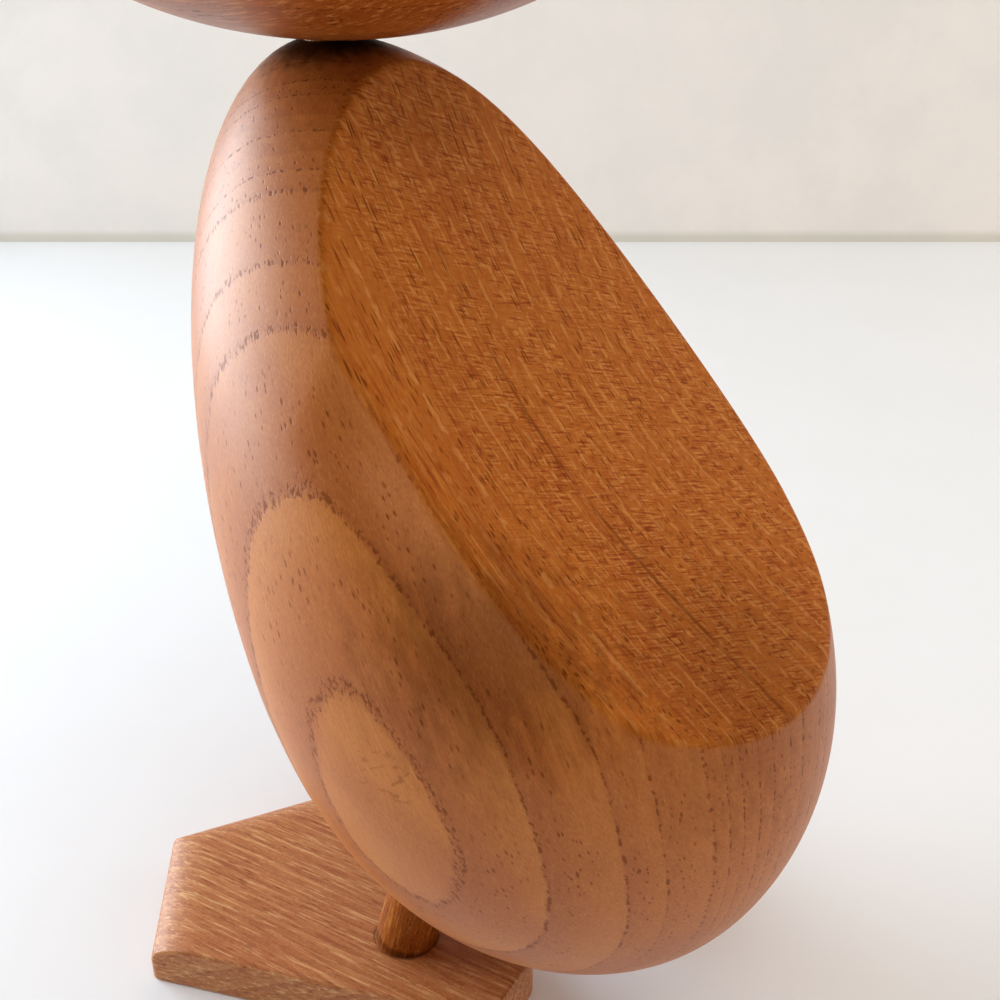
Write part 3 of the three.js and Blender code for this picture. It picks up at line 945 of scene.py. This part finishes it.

# Dark patches are (place, radius, reach, strength), as for wood; the neck's and the scoop's are
# painted shade.
NECK_MIDDLE = (0.0, NECK_Y, SEAT_HEIGHT)
# Painted shade round the neck: a near-black ring where the head sits on the body and shadows it,
# and a wider, fainter one over the body's top.
NECK_PAINTED_SHADE = ((NECK_MIDDLE, 6.0, 7.0, 0.92), (NECK_MIDDLE, 9.0, 20.0, 0.3))
# Painted shade low on the scoop, where the body's lower back and left rim turn away from the light.
SCOOP_PAINTED_SHADE = (((32.0, 50.0, 82.0), 3.0, 20.0, 0.48), ((2.0, 69.0, 71.0), 4.0, 26.0, 0.32))
OVAL_SMUDGE = (41.0, 39.7, 63.5)
FLANK_VEIL = (1.0, 0.74, 0.56)
FOOT_VEIL = (1.0, 0.80, 0.70)


def eye_material():
    """Dense dark wood, polished, with a faint grain."""
    material = bpy.data.materials.new("dark_inlay")
    tree = Tree(material)
    grain = tree.noise(tree.vector("MULTIPLY", millimetres(tree), (2.5, 0.6, 2.5)), detail=4.0)
    colour = tree.mix(tree.between(grain, 0.35, 0.7), (0.010, 0.006, 0.004), (0.035, 0.016, 0.009))
    roughness = tree.between(grain, 0.3, 0.7, 0.16, 0.3)
    tree.finish(colour, roughness, grain, bump=0.1, distance=BUMP_HEIGHT)
    return material


# ---- studio ----

TABLE_COLOURS = ((0.865, 0.865, 0.865), (0.855, 0.855, 0.85))
TABLE_PATCH = 60.0
FLOOR_HALF_WIDTH = 4000.0
FLOOR_ENDS = (30.0, -8000.0)  # from just behind the backdrop to far behind the camera
WALL_COLOURS = ((0.93, 0.855, 0.785), (0.88, 0.82, 0.76))
WALL_PATCH = 45.0
WALL_SHADE_HEIGHT = 6.5  # the height of the painted shade at its foot, where it meets the table
WALL_HALF_WIDTH = 1500.0
WALL_ENDS = (-1.0, 1500.0)
WORLD_COLOUR = (1.0, 0.985, 0.97, 1.0)
WORLD_STRENGTH = 0.30

# Each light aims at the target. Its bearing is in degrees, as for level_direction, and its distance
# is measured level; then come its rise, its size across and up, its watts, colour and spread.
LIGHT_TARGET = np.array([0.0, 10.0, 75.0])
LIGHTS = (
    ("window", 158, 620.0, 130.0, (620.0, 460.0), 4.4, (0.71, 0.86, 1.0), 120),
    ("ceiling", -60, 350.0, 900.0, (900.0, 900.0), 3.7, (1.0, 0.92, 0.82), 180),
    ("room", 10, 800.0, 250.0, (700.0, 400.0), 2.2, (1.0, 0.97, 0.93), 180),
)


def plane(name, start, across, half_width, along, ends, material):
    """A rectangle either side of a line that leaves the start, from one distance to another."""
    near, far = ends
    corners = []
    for side, end in ((-1, near), (1, near), (1, far), (-1, far)):
        corners.append(start + across * side * half_width + along * end)
    mesh = bpy.data.meshes.new(name)
    mesh.from_pydata((np.array(corners) * MM).tolist(), [], [(0, 1, 2, 3)])
    made = bpy.data.objects.new(name, mesh)
    bpy.context.scene.collection.objects.link(made)
    mesh.materials.append(material)


def pale_material(name, colours, roughness, patch, foot=None):
    """Matt and pale, mottled with a second colour in patches, with painted shade below a foot
    height, where a wall meets the table.
    """
    material = bpy.data.materials.new(name)
    tree = Tree(material)
    place = millimetres(tree)
    cloud = tree.noise(place, scale=1 / patch, detail=5.0, roughness=0.6)
    made = tree.mix(tree.between(cloud, 0.35, 0.65), *colours)
    # Painted shade along the wall's foot, where it meets the table.
    if foot is not None:
        height = tree.node("ShaderNodeSeparateXYZ", {"Vector": place}).outputs["Z"]
        shade = tree.between(height, 0.3 * foot, foot, 0.80, 1.0)
        warm = tree.combine(shade, shade, tree.math("POWER", shade, 1.3))
        made = tree.mix(1.0, made, warm, "MULTIPLY")
    tree.finish(made, roughness, cloud, bump=0.05, distance=0.0005)
    return material


def level_direction(degrees):
    """A level unit vector; 0 is to the camera's right and 90 straight away from it."""
    angle = CAMERA_TURN + math.radians(degrees)
    return np.array([math.cos(angle), math.sin(angle), 0.0])


def area_light(name, bearing, distance, rise, size, power, colour, spread):
    """A rectangular light that the camera doesn't see."""
    up = np.array([0.0, 0.0, 1.0])
    place = LIGHT_TARGET + level_direction(bearing) * distance + up * rise
    data = bpy.data.lights.new(name, "AREA")
    data.shape = "RECTANGLE"
    data.size, data.size_y = size[0] * MM, size[1] * MM
    data.energy = power
    data.color = colour
    data.spread = math.radians(spread)
    light = bpy.data.objects.new(name, data)
    light.location = Vector(place) * MM
    light.rotation_euler = Vector(LIGHT_TARGET - place).to_track_quat("-Z", "Y").to_euler()
    light.visible_camera = False
    bpy.context.scene.collection.objects.link(light)


def make_studio():
    """A pale table that ends at a pale wall, soft light from all round, and three lights."""
    away, right, up = level_direction(90), level_direction(0), np.array([0.0, 0.0, 1.0])
    near_wall = np.array([*CAMERA_PLACE[:2], 0.0]) + away * WALL_DISTANCE
    table = pale_material("pale_table", TABLE_COLOURS, 0.55, TABLE_PATCH)
    plane("floor", near_wall, right, FLOOR_HALF_WIDTH, away, FLOOR_ENDS, table)
    wall = pale_material("pale_wall", WALL_COLOURS, 0.9, WALL_PATCH, foot=WALL_SHADE_HEIGHT)
    plane("backdrop", near_wall, right, WALL_HALF_WIDTH, up, WALL_ENDS, wall)

    world = bpy.data.worlds.new("studio")
    world.use_nodes = True
    background = world.node_tree.nodes["Background"]
    background.inputs["Color"].default_value = WORLD_COLOUR
    background.inputs["Strength"].default_value = WORLD_STRENGTH
    bpy.context.scene.world = world
    for light in LIGHTS:
        area_light(*light)
    bpy.context.scene.view_settings.view_transform = "Standard"


# ---- the scene ----


def add_piece(name, mesh, body, node, material):
    """Adds a smooth piece of one material."""
    points, faces = mesh
    piece = make_piece(name, points, outward(points, faces), body, node)
    piece.data.materials.append(material)


make_camera()

body_wood = wood("body_wood", BODY_ORIGIN, BODY_GRAIN, BODY_RING, BODY_PALETTE, bends=BODY_BENDS,
                 streaks=0.10, gloss=0.70, veil=FLANK_VEIL, scooped=True,
                 stains_and_shade=NECK_PAINTED_SHADE + SCOOP_PAINTED_SHADE, smudge=OVAL_SMUDGE)
head_wood = wood("head_wood", (5.0, 0.0, 190.0), (0.05, 1.0, 0.03), (0.25, 0.0, 1.0), HEAD_PALETTE,
                 bends=((-0.006, "bb"),), pitch=4.2, contrast=0.3, streaks=0.75,
                 streak_size=(0.5, 0.7, 9.0), pore=1.5, gloss=0.55, rough=0.36,
                 pore_size=(0.5, 0.5, 4.5), stains_and_shade=NECK_PAINTED_SHADE[:1])
bill_wood = wood("bill_wood", (2.0, 0.0, 160.0), (0.0, 1.0, 0.05), (1.0, 0.0, 0.5), DOWEL_PALETTE,
                 pitch=3.1, contrast=0.3, streaks=0.35, streak_size=(0.5, 0.7, 9.0))
inlay = eye_material()

add_piece("body_shell", body_mesh(), "stand", "body", body_wood)
add_piece("head_shell", head_mesh(), "turning_head", "head", head_wood)
add_piece("bill_tongue", bill_mesh(), "turning_head", "bill", bill_wood)

for side, word in ((1, "left"), (-1, "right")):
    eye = "eye_" + word
    add_piece(eye + "_peg", eye_mesh(side), "turning_head", eye, inlay)
    leg_grain = (-side * LEG_LEAN, LEG_LEAN, 1.0)
    leg_foot = (side * LEG_SPREAD, LEG_LINE, FOOT_THICKNESS)
    leg_place = (side * LEG_SPREAD + 3.0, LEG_LINE + 2.0, 0.0)
    dowel = wood("dowel_wood_" + word, leg_place, leg_grain, (1.0, 0.6 * side, 0.0), DOWEL_PALETTE,
                 pitch=1.9, contrast=0.2, streaks=0.7, streak_size=(0.45, 0.45, 5.0), rows=0.5,
                 rough=0.5, gloss=0.3, stains_and_shade=[(leg_foot, LEG_RADIUS, 0.12, 0.5)])
    leg = "leg_" + word
    add_piece(leg + "_dowel", leg_mesh(side), "stand", leg, dowel)
    foot_grain = (-math.sin(side * TOE_OUT), math.cos(TOE_OUT), 0.0)
    foot_wood = wood("foot_wood_" + word, (side * LEG_SPREAD, LEG_LINE, -20.0), foot_grain,
                     (0.9 * side, 0.0, 0.5), FOOT_PALETTE, pitch=2.3, contrast=0.3, streaks=0.8,
                     streak_size=(0.5, 0.6, 8.0), pore_size=(0.5, 0.4, 4.5), rows=0.5,
                     rough=0.46, gloss=0.6, veil=FOOT_VEIL,
                     stains_and_shade=[(leg_foot, LEG_RADIUS, 0.7, 0.75)])
    foot = "foot_" + word
    add_piece(foot + "_slab", foot_mesh(side), "stand", foot, foot_wood)

neck = frame["nodes"]["neck_dowel"]
neck_wood = wood("neck_wood", (1.0, NECK_Y, 0.0), (0.0, 0.0, 1.0), (1.0, 0.4, 0.0), DOWEL_PALETTE,
                 pitch=2.5)
neck.data.materials.clear()
neck.data.materials.append(neck_wood)

make_studio()

bpy.context.view_layer.update()
